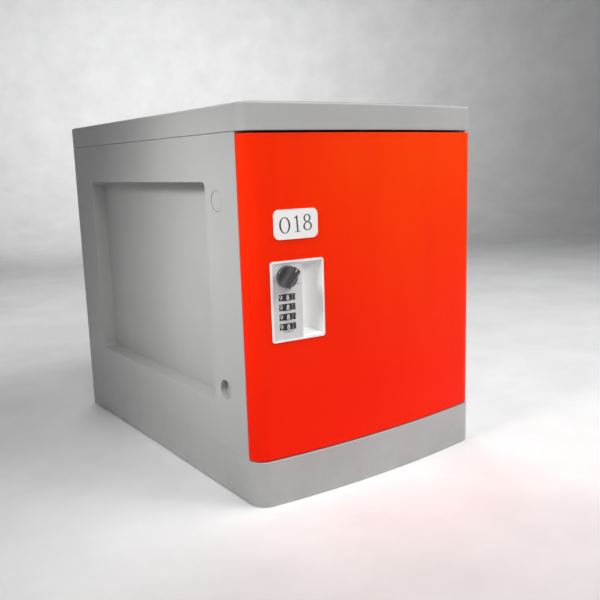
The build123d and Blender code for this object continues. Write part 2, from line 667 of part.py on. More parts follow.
def dial_windows():
    cut = []
    for y in WHEEL_YS:
        cut.append(Pos(DIAL_X, y, 0) * Box(WINDOW_W, WINDOW_H, 12))
        swept = Cylinder(WHEEL_R + 0.35, WINDOW_H, rotation=(90, 0, 0))
        cut.append(Pos(DIAL_X, y, AXLE_Z) * swept)
    return cut


def lock_screw_places():
    dx, dy = CASE_SCREW_IN
    return [(x, y) for y in (dy - CASE_Y, CASE_Y - dy) for x in (CASE_X0 + dx, CASE_X1 - dx)]


def lock_housing():
    """Bezel, dial face, finger pocket and the walls of the lock's case, in one moulding."""
    rim = extrude(RectangleRounded(LOCK_W, LOCK_H, LOCK_CORNER_R), RIM_PROUD)
    rim = fillet(rim.edges().group_by(Axis.Z)[-1], 0.5)
    skirt = block(-LOCK_W / 2 + 2, LOCK_W / 2 - 2, -CASE_Y, CASE_Y, FACE_Z - FACE_THICK, RIM_PROUD - 0.5)
    body = rim + skirt + grip(GRIP_WALL)
    case = block(CASE_X0, CASE_X1, -CASE_Y, CASE_Y, -CASE_DEPTH, FACE_Z)
    body += case
    face = RectangleRounded(LOCK_W - 2 * RIM_W, LOCK_H - 2 * RIM_W, 1.6)
    body -= Pos(0, 0, FACE_Z) * extrude(face, 3)
    body -= grip(0)
    body -= block(CASE_X0 + CASE_WALL, CASE_X1 - CASE_WALL, -CASE_Y + CASE_WALL, CASE_Y - CASE_WALL,
                  -CASE_DEPTH, FACE_Z - FACE_THICK)
    for cutter in dial_windows():
        body -= cutter
    body -= Pos(DIAL_X, KNOB_Y, 0) * Cylinder(SPINDLE_R + 0.08, 12)
    for x, y in lock_screw_places():
        body += upright(x, y, -CASE_DEPTH, FACE_Z - FACE_THICK, CASE_BOSS_R)
        body -= upright(x, y, -CASE_DEPTH, CASE_SCREW_L - CASE_DEPTH, CASE_SCREW_R)
    return LOCK_PLANE.location * body


def wheel_carrier():
    """A comb whose plates hold the axle between the number wheels."""
    x0, x1 = CASE_X0 + CASE_WALL + FIT, CASE_X1 - CASE_WALL - FIT
    top = WHEEL_YS[0] + WHEEL_PITCH / 2
    low = WHEEL_YS[-1] - WHEEL_PITCH / 2
    back_z = AXLE_Z - WHEEL_R - 0.6
    comb = block(x0, x1, low, top, back_z - 0.9, back_z)
    gap = WHEEL_PITCH - WHEEL_THICK - 0.8
    for k in range(WHEEL_COUNT + 1):
        y = WHEEL_YS[0] + WHEEL_PITCH * (0.5 - k)
        tooth = Box(COMB_W, gap, FACE_Z - FACE_THICK - FIT - back_z,
                    align=(Align.CENTER, Align.CENTER, Align.MIN))
        comb += Pos(DIAL_X, y, back_z) * tooth
    bore = Cylinder(AXLE_R + 0.05, 80, rotation=(90, 0, 0))
    comb -= Pos(DIAL_X, (top + low) / 2, AXLE_Z) * bore
    return LOCK_PLANE.location * comb


def wheel_axle():
    top = WHEEL_YS[0] + WHEEL_PITCH / 2 + 1.6
    low = WHEEL_YS[-1] - WHEEL_PITCH / 2 - 1.6
    rod = Cylinder(AXLE_R, top - low, rotation=(90, 0, 0))
    return LOCK_PLANE.location * (Pos(DIAL_X, (top + low) / 2, AXLE_Z) * rod)


def number_wheel(index):
    """A ten-position dial; shallow flutes between the digit lands give the finger a hold."""
    wheel = Cylinder(WHEEL_R, WHEEL_THICK)
    wheel = chamfer(wheel.edges().filter_by(GeomType.CIRCLE), 0.45)
    for k in range(WHEEL_DIGITS):
        angle = 360 / WHEEL_DIGITS * (k + 0.5)
        flute = Pos(WHEEL_R + 0.55, 0, 0) * Cylinder(0.95, WHEEL_THICK + 1)
        wheel -= Rot(0, 0, angle) * flute
    wheel -= Cylinder(AXLE_R + 0.05, WHEEL_THICK + 1)
    wheel = Rot(90, 0, 0) * Rot(0, 0, 90) * wheel
    return LOCK_PLANE.location * (Pos(DIAL_X, WHEEL_YS[index], AXLE_Z) * wheel)


def detent_spring():
    """A thin steel leaf in front of the rear cover, with one finger for each wheel."""
    x = DIAL_X + WHEEL_R + 0.9
    low = WHEEL_YS[-1] - 2.0
    top = WHEEL_YS[0] + 2.0
    z0 = AXLE_Z - 6
    leaf = block(x, x + 0.4, low, top, z0, z0 + 3)
    for y in WHEEL_YS:
        leaf += block(x, x + 0.4, y - 1.6, y + 1.6, z0, AXLE_Z + 4)
    return LOCK_PLANE.location * leaf


def lock_rear_cover():
    cover = block(CASE_X0, CASE_X1, -CASE_Y, CASE_Y, -CASE_DEPTH - REAR_COVER_THICK, -CASE_DEPTH)
    cover = fillet(cover.edges().filter_by(Axis.Z), 1.2)
    cover -= Pos(DIAL_X, KNOB_Y, -CASE_DEPTH) * Cylinder(SPINDLE_R + 0.08, 8)
    for x, y in lock_screw_places():
        cover -= Pos(x, y, -CASE_DEPTH) * Cylinder(SCREW_R, 8)
    return LOCK_PLANE.location * cover


def lock_screws():
    screw = Rot(180, 0, 0) * cap_screw(CASE_SCREW_R, *CASE_SCREW_HEAD, CASE_SCREW_L)
    z = -CASE_DEPTH - REAR_COVER_THICK
    return Compound([LOCK_PLANE.location * (Pos(x, y, z) * screw) for x, y in lock_screw_places()])


def lock_knob():
    """A round turn knob with a broad raised grip bar and a notch at the bar's pointer end."""
    base = Cylinder(KNOB_R, KNOB_BASE_H, align=(Align.CENTER, Align.CENTER, Align.MIN))
    base = fillet(base.edges().group_by(Axis.Z)[-1], 1.1)
    bar = Box(2 * KNOB_R, KNOB_BAR_W, KNOB_BAR_H + 2, align=(Align.CENTER, Align.CENTER, Align.MIN))
    bar = chamfer(bar.edges().group_by(Axis.Z)[-1].filter_by(Axis.X), KNOB_SHOULDER)
    top = Cylinder(KNOB_R - 0.4, KNOB_BAR_H + 2, align=(Align.CENTER, Align.CENTER, Align.MIN))
    bar = fillet((bar & top).edges().group_by(Axis.Z)[-1], 0.45)
    knob = base + Pos(0, 0, KNOB_BASE_H - 2) * bar
    notch = Box(NOTCH_L, NOTCH_W, 2 * NOTCH_DEPTH)
    knob -= Pos(KNOB_R - NOTCH_IN, 0, KNOB_BASE_H + KNOB_BAR_H) * notch
    knob -= upright(0, 0, -1, KNOB_BASE_H + 0.8, TAIL_R)
    return LOCK_PLANE.location * (Pos(DIAL_X, KNOB_Y, FACE_Z + FIT) * Rot(0, 0, KNOB_ANGLE) * knob)


def knob_spindle():
    """The shaft from the knob to the latch blade, with a threaded tail for the nut."""
    front = FACE_Z + FIT
    shaft = upright(0, 0, CAM_Z, front, SPINDLE_R)
    shaft += upright(0, 0, front, front + KNOB_BASE_H - 0.2, TAIL_R)
    shaft += upright(0, 0, CAM_Z - CAM_THICK - NUT_THICK - 0.6, CAM_Z, TAIL_R)
    return LOCK_PLANE.location * (Pos(DIAL_X, KNOB_Y, 0) * shaft)


def latch_cam():
    """The latch blade, hanging free: a quarter turn swings it sideways behind the strike."""
    arm = Pos(0, -CAM_REACH / 2) * Rectangle(CAM_W, CAM_REACH)
    arm = fillet(arm.vertices().group_by(Axis.Y)[0], 5.0)
    blade = extrude(arm + Circle(CAM_W / 2), CAM_THICK)
    blade -= Cylinder(TAIL_R, 10)
    return LOCK_PLANE.location * (Pos(DIAL_X, KNOB_Y, CAM_Z - CAM_THICK) * blade)


def cam_nut():
    nut = extrude(RegularPolygon(4.6, 6), NUT_THICK) - Cylinder(TAIL_R, 10)
    return LOCK_PLANE.location * (Pos(DIAL_X, KNOB_Y, CAM_Z - CAM_THICK - NUT_THICK) * nut)


# ---- charger -----------------------------------------------------------------------------------
def charger_case():
    """A shallow tray on the rear wall that holds the circuit board; open to the front."""
    half_w, half_h, wall = CHARGER_W / 2, CHARGER_H / 2, CHARGER_WALL
    case = block(-half_w, half_w, CHARGER_FRONT_Y, BACK_PANEL_Y, CHARGER_Z - half_h, CHARGER_Z + half_h)
    case = fillet(case.edges().filter_by(Axis.Y), CHARGER_CORNER_R)
    case -= block(wall - half_w, half_w - wall, CHARGER_FRONT_Y, BACK_PANEL_Y - wall,
                  CHARGER_Z - half_h + wall, CHARGER_Z + half_h - wall)
    for x, z in charger_screw_places():
        case += along_y(x, BACK_PANEL_Y - BOSS_H, BACK_PANEL_Y - wall, z, BOSS_R - 0.5)
        case -= along_y(x, BACK_PANEL_Y - BORE_DEPTH, BACK_PANEL_Y, z, SCREW_R)
    return case - inlet_cut_out()


def charger_faceplate():
    plate = block(-CHARGER_W / 2, CHARGER_W / 2, CHARGER_FRONT_Y - FACE_PLATE_THICK, CHARGER_FRONT_Y,
                  CHARGER_Z - CHARGER_H / 2, CHARGER_Z + CHARGER_H / 2)
    plate = fillet(plate.edges().filter_by(Axis.Y), CHARGER_CORNER_R)
    plate = chamfer(plate.edges().group_by(Axis.Y)[0], 0.8)
    for x in USB_XS:
        plate -= Pos(x, CHARGER_FRONT_Y, USB_Z) * Box(USB_W + 0.2, 8, USB_H + 0.2)
    plate -= along_y(LED_X, CHARGER_FRONT_Y - 4, CHARGER_FRONT_Y + 1, USB_Z, LED_R + 0.05)
    return plate


def usb_sockets():
    shells = []
    y0 = CHARGER_FRONT_Y - FACE_PLATE_THICK - 0.4
    for x in USB_XS:
        shell = block(x - USB_W / 2, x + USB_W / 2, y0, y0 + USB_DEEP, USB_Z - USB_H / 2, USB_Z + USB_H / 2)
        shell -= block(x - USB_W / 2 + USB_WALL, x + USB_W / 2 - USB_WALL, y0, y0 + USB_DEEP - 1,
                       USB_Z - USB_H / 2 + USB_WALL, USB_Z + USB_H / 2 - USB_WALL)
        shells.append(shell)
    return Compound(shells)


def usb_tongues():
    y0 = CHARGER_FRONT_Y - FACE_PLATE_THICK + 1.0
    y1 = CHARGER_FRONT_Y - FACE_PLATE_THICK - 0.4 + USB_DEEP - 1
    z0, z1 = (USB_Z + z for z in TONGUE_ZS)
    return Compound([block(x - TONGUE_HALF_W, x + TONGUE_HALF_W, y0, y1, z0, z1) for x in USB_XS])


def charge_indicator():
    lens = along_y(LED_X, CHARGER_FRONT_Y - FACE_PLATE_THICK - 1.0, CHARGER_FRONT_Y + 2, USB_Z, LED_R)
    return fillet(lens.edges().group_by(Axis.Y)[0], 0.9)


def charger_board():
    """The circuit board behind the sockets, with a transformer block and two capacitors."""
    y0 = CHARGER_FRONT_Y + BOARD_DEEP
    board = block(-CHARGER_W / 2 + 16, CHARGER_W / 2 - 22, y0, y0 + BOARD_THICK,
                  CHARGER_Z - CHARGER_H / 2 + 4, CHARGER_Z + CHARGER_H / 2 - 4)
    board += block(*TRANSFORMER_XS, y0 - TRANSFORMER_D, y0, *(CHARGER_Z + z for z in TRANSFORMER_ZS))
    for x in CAPACITOR_XS:
        board += along_y(x, y0 - CAPACITOR_L, y0, CHARGER_Z - CAPACITOR_DROP, CAPACITOR_R)
    return board


def power_inlet():
    """The two-pin mains inlet in the back panel: a flange outside and a figure-of-eight socket."""
    rear = BACK_PANEL_Y + WALL
    inlet = block(-INLET_W / 2, INLET_W / 2, rear - INLET_DEEP, rear, -INLET_H / 2, INLET_H / 2)
    flange = block(-INLET_W / 2 - INLET_FLANGE, INLET_W / 2 + INLET_FLANGE, rear, rear + 0.4,
                   -INLET_H / 2 - INLET_FLANGE, INLET_H / 2 + INLET_FLANGE)
    inlet += flange
    mouth_y0, mouth_y1 = rear - INLET_DEEP + 2, rear + 1
    for sx in (-1, 1):
        inlet -= along_y(sx * INLET_PIN_X, mouth_y0, mouth_y1, 0, INLET_MOUTH_R)
    inlet -= block(-INLET_PIN_X, INLET_PIN_X, mouth_y0, mouth_y1, -INLET_MOUTH_R + 0.3,
                   INLET_MOUTH_R - 0.3)
    for sx in (-1, 1):
        inlet -= along_y(sx * INLET_PIN_X, rear - INLET_DEEP, rear, 0, INLET_PIN_R)
    return Pos(INLET_X, 0, INLET_Z) * inlet


def inlet_pins():
    rear = BACK_PANEL_Y + WALL
    pins = [along_y(INLET_X + sx * INLET_PIN_X, rear - INLET_DEEP, rear - 1.2, INLET_Z, INLET_PIN_R)
            for sx in (-1, 1)]
    return Compound([fillet(p.edges().group_by(Axis.Y)[-1], 0.6) for p in pins])


# ---- build -------------------------------------------------------------------------------------
def main():
    os.makedirs("parts", exist_ok=True)
    slot = cam_slot()
    left_liner = inner_liner() - slot
    for z in strike_screw_zs():
        left_liner -= along_x(-LINER_X, -INNER_X, slot_y(), z, SCREW_R)
    left_panel = side_panel()
    right_panel = mirrored(left_panel)
    for x, z in bumper_places():
        left_panel -= along_y(x, CARCASS_FRONT_Y, CARCASS_FRONT_Y + BUMPER_DEEP, z, BUMPER_R)
    save("base_plinth", base_plinth())
    save("rubber_feet", rubber_feet())
    save("floor_panel", floor_panel())
    save("floor_screws", floor_screws())
    save("left_side_panel", left_panel)
    save("right_side_panel", right_panel)
    save("left_inner_liner", left_liner)
    save("right_inner_liner", mirrored(inner_liner()))
    save("strike_plate", strike_plate())
    save("strike_screws", strike_screws())
    save("back_panel", back_panel())
    save("back_screws", rear_screws(back_screw_places()))
    save("ceiling_panel", ceiling_panel())
    save("top_cover", top_cover())
    save("cover_screws", cover_screws())
    save("joining_caps", joining_caps())
    save("door_bumpers", door_bumpers())
    save("lower_hinge_pin", lower_hinge_pin())
    save("upper_hinge_pin", upper_hinge_pin())
    save("hinge_washer", hinge_washer())
    save("door_shell", door_shell())
    save("door_inner_panel", door_inner_panel())
    save("door_screws", door_screws())
    save("number_plate", number_plate())
    save("lock_housing", lock_housing())
    save("wheel_carrier", wheel_carrier())
    save("wheel_axle", wheel_axle())
    for index in range(WHEEL_COUNT):
        save(f"number_wheel_{index + 1}", number_wheel(index))
    save("detent_spring", detent_spring())
    save("lock_rear_cover", lock_rear_cover())
    save("lock_screws", lock_screws())
    save("lock_knob", lock_knob())
    save("knob_spindle", knob_spindle())
    save("latch_cam", latch_cam())
    save("cam_nut", cam_nut())
    save("charger_case", charger_case())
    save("charger_faceplate", charger_faceplate())
    save("usb_sockets", usb_sockets())
    save("usb_tongues", usb_tongues())
    save("charge_indicator", charge_indicator())
    save("charger_board", charger_board())
    save("charger_screws", rear_screws(charger_screw_places()))
    save("power_inlet", power_inlet())
    save("inlet_pins", inlet_pins())


main()
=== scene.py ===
import json
import math

import bmesh
import bpy
from mathutils import Matrix, Vector


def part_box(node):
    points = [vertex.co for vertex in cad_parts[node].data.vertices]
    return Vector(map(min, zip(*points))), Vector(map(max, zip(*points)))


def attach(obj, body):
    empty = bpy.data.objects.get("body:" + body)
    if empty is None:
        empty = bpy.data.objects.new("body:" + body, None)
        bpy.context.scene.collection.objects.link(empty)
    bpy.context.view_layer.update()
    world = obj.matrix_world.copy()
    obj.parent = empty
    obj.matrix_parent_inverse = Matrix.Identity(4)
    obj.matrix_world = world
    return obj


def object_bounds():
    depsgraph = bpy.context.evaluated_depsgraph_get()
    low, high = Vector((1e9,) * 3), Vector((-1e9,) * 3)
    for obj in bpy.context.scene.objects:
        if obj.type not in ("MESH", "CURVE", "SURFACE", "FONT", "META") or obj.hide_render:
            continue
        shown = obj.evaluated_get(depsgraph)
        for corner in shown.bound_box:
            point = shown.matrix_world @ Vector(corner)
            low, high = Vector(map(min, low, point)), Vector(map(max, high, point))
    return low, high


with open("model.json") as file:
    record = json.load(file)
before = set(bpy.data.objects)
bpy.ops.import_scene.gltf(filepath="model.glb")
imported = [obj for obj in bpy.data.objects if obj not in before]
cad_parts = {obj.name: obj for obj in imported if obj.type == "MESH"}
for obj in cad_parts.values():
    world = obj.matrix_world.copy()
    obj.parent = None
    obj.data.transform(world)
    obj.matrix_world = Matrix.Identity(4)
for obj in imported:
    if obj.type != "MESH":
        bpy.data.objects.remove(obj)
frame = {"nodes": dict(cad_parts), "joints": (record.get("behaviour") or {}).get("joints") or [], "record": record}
CAD_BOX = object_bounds()
NODES = frame["nodes"]
JOINTS = {joint["name"]: joint for joint in frame["joints"]}

MM = 0.001

# ---- shapes of the frame that the printed marks follow, mm --------------------------------------
DOOR_ARC_R = 1151.6             # bow of the door skin
PLATE_THICK = 1.3
LOCK_RIM_W = 2.2
DIAL_FACE_W = 35.7              # from the housing's edge to the finger pocket
LOCK_FACE = 0.4                 # lock face in front of the door skin, along the knob's axis
WHEEL_R = 11.6
WHEEL_DIGITS = 10
SHOWN_DIGIT = 8                 # faces out of each dial window at rest
KNOB_TOP = 12.5                 # top of the grip bar in front of the door skin
KNOB_NOTCH = (6.9, 10.9)        # along the bar from the knob's axis
KNOB_NOTCH_DEPTH = 1.5
KNOB_ANGLE = 52.0
DIGITS_TILT = 3.5               # degrees; the plate's digits are printed a little askew
DIGITS_SHIFT = 1.4
PRINT_TOP = 0.06                # printed marks stand this proud
PRINT_SUNK = -0.04
PRINT_LIFT = 0.004              # between strokes that cross, so that no two faces share a plane
PRINT_LIFTS = 5
INK_CURVE_STEPS = 40
WHEEL_DIGIT_W, WHEEL_DIGIT_H, WHEEL_STROKE = 2.6, 4.3, 0.34
POINTER_HALF_W = 0.72
POINTER_TOP, POINTER_SUNK = 0.55, 0.05   # paint above and below the notch's floor

# ---- softened edges, metres and degrees --------------------------------------------------------
WELD_GAP = 0.000002
FLAT_ANGLE = 0.05               # faces this close to one plane are one face
EDGE_WIDTH = 0.00025
EDGE_ANGLE = 30.0
FACE_WEIGHT = 90

# ---- camera, metres and degrees ----------------------------------------------------------------
CAMERA_PLACE = Vector((-0.5334, -0.8343, 0.3496))
CAMERA_AZIMUTH = 35.49          # about Z, from +Y towards +X
CAMERA_DROP = 10.39             # below the horizon
CAMERA_ROLL = 1.80              # right-hand side of the picture down
CAMERA_LENS = 44.41             # mm on a 36 mm sensor
SENSOR = 36.0


def sun_direction(azimuth, elevation):
    """Unit vector from the object towards a light at that azimuth (from +Y to +X) and elevation."""
    a, e = math.radians(azimuth), math.radians(elevation)
    return Vector((math.sin(a) * math.cos(e), math.cos(a) * math.cos(e), math.sin(e)))


def add_camera():
    data = bpy.data.cameras.new("camera")
    data.lens = CAMERA_LENS
    data.sensor_width = SENSOR
    camera = bpy.data.objects.new("camera", data)
    bpy.context.scene.collection.objects.link(camera)
    turn = (
        Matrix.Rotation(math.radians(-CAMERA_AZIMUTH), 4, "Z")
        @ Matrix.Rotation(math.radians(90 - CAMERA_DROP), 4, "X")
        @ Matrix.Rotation(math.radians(-CAMERA_ROLL), 4, "Z")
    )
    camera.matrix_world = Matrix.Translation(CAMERA_PLACE) @ turn
    bpy.context.scene.camera = camera


def add_area(name, place, target, size, watts, spread=180):
    """A soft rectangular lamp facing a target, its beam limited to a spread in degrees."""
    data = bpy.data.lights.new(name, "AREA")
    data.shape = "RECTANGLE"
    data.size, data.size_y = size
    data.energy = watts
    data.spread = math.radians(spread)
    light = bpy.data.objects.new(name, data)
    bpy.context.scene.collection.objects.link(light)
    light.location = place
    light.rotation_euler = (place - target).to_track_quat("Z", "Y").to_euler()
    light.visible_camera = False


def add_lights():
    """Three soft keys in front, fills at the right and behind, two small lamps at the left side."""
    middle = Vector((0, 0, CAD_BOX[1][2] / 2))
    recess = Vector((CAD_BOX[0][0], -0.13, 0.22))
    wall = sun_direction(25, 12) * 3.4

    def round_middle(azimuth, elevation, distance):
        return middle + sun_direction(azimuth, elevation) * distance

    add_area("key", round_middle(155, 38, 2.4), middle, (0.9, 0.8), 5.0, 120)
    add_area("key_left", round_middle(193, 36, 2.5), middle, (0.9, 0.8), 4.4, 110)
    add_area("key_steep", round_middle(135, 50, 2.4), middle, (1.0, 1.0), 10.5, 120)
    add_area("fill_right", round_middle(110, 35, 2.4), middle, (1.0, 1.4), 3.5, 110)
    add_area("fill_back", round_middle(20, 38, 2.4), middle, (1.2, 1.0), 6, 120)
    add_area("top", round_middle(10, 75, 2.3), middle, (1.6, 1.2), 3)
    add_area("side_high", Vector((-0.72, -0.24, 0.72)), recess, (0.20, 0.20), 0.32, 46)
    add_area("side_low", Vector((-0.60, -0.20, 0.55)), recess, (0.16, 0.16), 0.10, 55)
    add_area("backdrop", wall * 0.45 + Vector((0, 0, 1.2)), wall, (1.6, 0.6), 12, 110)
    world = bpy.data.worlds.new("studio")
    world.use_nodes = True
    background = world.node_tree.nodes["Background"]
    background.inputs["Color"].default_value = (0.94, 0.97, 1.0, 1)
    background.inputs["Strength"].default_value = 0.08
    bpy.context.scene.world = world
    bpy.context.scene.view_settings.view_transform = "Standard"


# ---- materials ---------------------------------------------------------------------------------
class Shader:
    """A small builder round one material's node tree."""

    def __init__(self, name):
        self.material = bpy.data.materials.new(name)
        self.material.use_nodes = True
        self.nodes = self.material.node_tree.nodes
        self.links = self.material.node_tree.links
        self.bsdf = self.nodes["Principled BSDF"]
        self.coords = self.nodes.new("ShaderNodeTexCoord").outputs["Object"]

    def plug(self, source, node, socket):
        if hasattr(source, "links"):
            self.links.new(source, node.inputs[socket])
        else:
            node.inputs[socket].default_value = source

    def stretched(self, scale):
        node = self.nodes.new("ShaderNodeMapping")
        node.inputs["Scale"].default_value = scale
        self.links.new(self.coords, node.inputs["Vector"])
        return node.outputs["Vector"]

    def noise(self, scale, detail=3.0, rough=0.5, vector=None):
        node = self.nodes.new("ShaderNodeTexNoise")
        node.inputs["Scale"].default_value = scale
        node.inputs["Detail"].default_value = detail
        node.inputs["Roughness"].default_value = rough
        self.links.new(vector or self.coords, node.inputs["Vector"])
        return node.outputs["Fac"]

    def cells(self, scale):
        node = self.nodes.new("ShaderNodeTexVoronoi")
        node.inputs["Scale"].default_value = scale
        self.links.new(self.coords, node.inputs["Vector"])
        return node.outputs["Distance"]

    def ramp(self, source, low, high, out_low=0.0, out_high=1.0):
        node = self.nodes.new("ShaderNodeMapRange")
        node.clamp = True
        self.plug(source, node, "Value")
        limits = {"From Min": low, "From Max": high, "To Min": out_low, "To Max": out_high}
        for socket, value in limits.items():
            node.inputs[socket].default_value = value
        return node.outputs["Result"]

    def math(self, operation, a, b=0.0):
        node = self.nodes.new("ShaderNodeMath")
        node.operation = operation
        self.plug(a, node, 0)
        self.plug(b, node, 1)
        return node.outputs["Value"]

    def mix(self, factor, a, b):
        node = self.nodes.new("ShaderNodeMix")
        node.data_type = "RGBA"
        self.plug(factor, node, 0)
        for index, colour in ((6, a), (7, b)):
            if hasattr(colour, "links"):
                self.links.new(colour, node.inputs[index])
            else:
                node.inputs[index].default_value = (*colour[:3], 1)
        return node.outputs[2]

    def edges(self, radius, low=0.02, high=0.22):
        """1 on convex and concave edges, 0 on flats: where the rounded normal leaves the true one."""
        bevel = self.nodes.new("ShaderNodeBevel")
        bevel.samples = 4
        bevel.inputs["Radius"].default_value = radius
        geometry = self.nodes.new("ShaderNodeNewGeometry")
        dot = self.nodes.new("ShaderNodeVectorMath")
        dot.operation = "DOT_PRODUCT"
        self.links.new(bevel.outputs["Normal"], dot.inputs[0])
        self.links.new(geometry.outputs["Normal"], dot.inputs[1])
        return self.ramp(self.math("SUBTRACT", 1.0, dot.outputs["Value"]), low, high)

    def height(self):
        split = self.nodes.new("ShaderNodeSeparateXYZ")
        self.links.new(self.coords, split.inputs["Vector"])
        return split.outputs["Z"]

    def bump(self, *layers):
        """Stacks (height source, strength, distance in metres) layers into the shader's normal."""
        last = None
        for source, strength, distance in layers:
            node = self.nodes.new("ShaderNodeBump")
            node.inputs["Strength"].default_value = strength
            node.inputs["Distance"].default_value = distance
            self.links.new(source, node.inputs["Height"])
            if last:
                self.links.new(last, node.inputs["Normal"])
            last = node.outputs["Normal"]
        self.links.new(last, self.bsdf.inputs["Normal"])

    def set(self, **values):
        for name, value in values.items():
            self.bsdf.inputs[name.replace("_", " ")].default_value = value

    def colour(self, source):
        self.links.new(source, self.bsdf.inputs["Base Color"])

    def roughness(self, source):
        self.links.new(source, self.bsdf.inputs["Roughness"])


def scaled(colour, factor):
    return tuple(min(1.0, c * factor) for c in colour)


def moulded(name, colour, rough=0.45, grain=1500.0, grain_depth=0.00005, low_darkening=0.0, gloss=0.4):
    """Textured injection-moulded plastic: fine grain, faint flow clouds, rubbed edges, blotches darker towards the
    bottom.
    """
    s = Shader(name)
    clouds = s.noise(7.0, 4.0, 0.6)
    flow = s.noise(24.0, 3.0, 0.55, s.stretched((1.0, 1.0, 0.22)))
    specks = s.ramp(s.noise(900.0, 2.0), 0.66, 0.74)
    tone = s.mix(s.ramp(clouds, 0.3, 0.7), scaled(colour, 0.93), scaled(colour, 1.05))
    tone = s.mix(s.math("MULTIPLY", s.ramp(flow, 0.35, 0.7), 0.35), tone, scaled(colour, 0.97))
    tone = s.mix(s.math("MULTIPLY", specks, 0.10), tone, scaled(colour, 0.62))
    rub = s.edges(0.0012)
    rub_patches = s.math("MULTIPLY", rub, s.ramp(s.noise(60.0, 4.0, 0.7), 0.42, 0.68))
    tone = s.mix(s.math("MULTIPLY", rub_patches, 0.32), tone, scaled(colour, 1.28))
    if low_darkening:
        # Blotches coloured darker towards the bottom, within 6 cm of the floor.
        low = s.ramp(s.height(), 0.0, 0.06, 1.0, 0.0)
        low_dark_blotches = s.math("MULTIPLY", low, s.ramp(s.noise(38.0, 6.0, 0.65), 0.40, 0.75))
        tone = s.mix(s.math("MULTIPLY", low_dark_blotches, low_darkening), tone, scaled(colour, 0.55))
    s.colour(tone)
    smear = s.noise(15.0, 5.0, 0.6)
    s.roughness(s.ramp(smear, 0.25, 0.8, rough - 0.07, rough + 0.10))
    s.set(Specular_IOR_Level=gloss)
    s.bump((s.noise(grain, 2.5, 0.6), 0.5, grain_depth), (s.cells(grain * 0.45), 0.22, grain_depth),
           (s.noise(12.0, 2.0), 0.10, 0.0006))
    return s.material


def glossy(name, colour, rough=0.2, peel=0.00002, coat=0.25, wear=0.15, gloss=0.5):
    """Smooth moulded plastic with a skin: slight orange peel, fine hairline scratches, handled patches."""
    s = Shader(name)
    clouds = s.noise(5.0, 3.0, 0.5)
    tone = s.mix(s.ramp(clouds, 0.3, 0.7), scaled(colour, 0.93), scaled(colour, 1.06))
    if wear:
        rub = s.math("MULTIPLY", s.edges(0.0009), s.ramp(s.noise(80.0, 4.0, 0.7), 0.40, 0.66))
        tone = s.mix(s.math("MULTIPLY", rub, wear), tone, tuple(0.5 * c + 0.3 for c in colour[:3]))
    s.colour(tone)
    smear = s.noise(11.0, 6.0, 0.62)
    hairs = s.ramp(s.noise(140.0, 2.0, 0.5, s.stretched((1.0, 1.0, 14.0))), 0.60, 0.72)
    base = s.ramp(smear, 0.3, 0.75, rough - 0.05, rough + 0.10)
    s.roughness(s.math("ADD", base, s.math("MULTIPLY", hairs, 0.05)))
    s.set(Coat_Weight=coat, Coat_Roughness=0.12, Specular_IOR_Level=gloss)
    s.bump((s.noise(210.0, 3.0, 0.5), 0.35, peel), (s.noise(9.0, 2.0), 0.10, 0.0008))
    return s.material


def door_moulding(name):
    """Orange-red moulding with painted light: lighter and more orange towards its top and its hinge side, darker
    and redder towards its foot and its lock side.
    """
    s = Shader(name)
    low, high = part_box("door_shell")
    split = s.nodes.new("ShaderNodeSeparateXYZ")
    s.links.new(s.coords, split.inputs["Vector"])
    # Painted light: the colour runs from red at the foot and lock side to a lit orange at the top and hinge side,
    # with random clouds.
    rise = s.ramp(split.outputs["Z"], low[2] + 0.06, high[2] - 0.02)
    across = s.ramp(split.outputs["X"], low[0] + 0.02, 0.06, 0.35, 1.0)
    cloud = s.ramp(s.noise(6.0, 4.0, 0.55), 0.3, 0.7, -0.10, 0.10)
    painted_light_and_cloud = s.math("ADD", s.math("MULTIPLY", rise, across), cloud)
    tone = s.mix(s.ramp(painted_light_and_cloud, 0.0, 1.0), DOOR_RED, DOOR_LIT_ORANGE)
    flow = s.ramp(s.noise(30.0, 3.0, 0.5, s.stretched((1.0, 1.0, 0.15))), 0.4, 0.75)
    s.colour(s.mix(s.math("MULTIPLY", flow, 0.18), tone, scaled(DOOR_RED, 0.88)))
    smear = s.ramp(s.noise(11.0, 6.0, 0.62), 0.3, 0.75, 0.33, 0.48)
    hairs = s.ramp(s.noise(140.0, 2.0, 0.5, s.stretched((1.0, 1.0, 14.0))), 0.60, 0.72)
    s.roughness(s.math("ADD", smear, s.math("MULTIPLY", hairs, 0.05)))
    s.set(Specular_IOR_Level=0.06)
    s.bump((s.noise(210.0, 3.0, 0.5), 0.35, 0.00002), (s.noise(9.0, 2.0), 0.10, 0.0008))
    return s.material


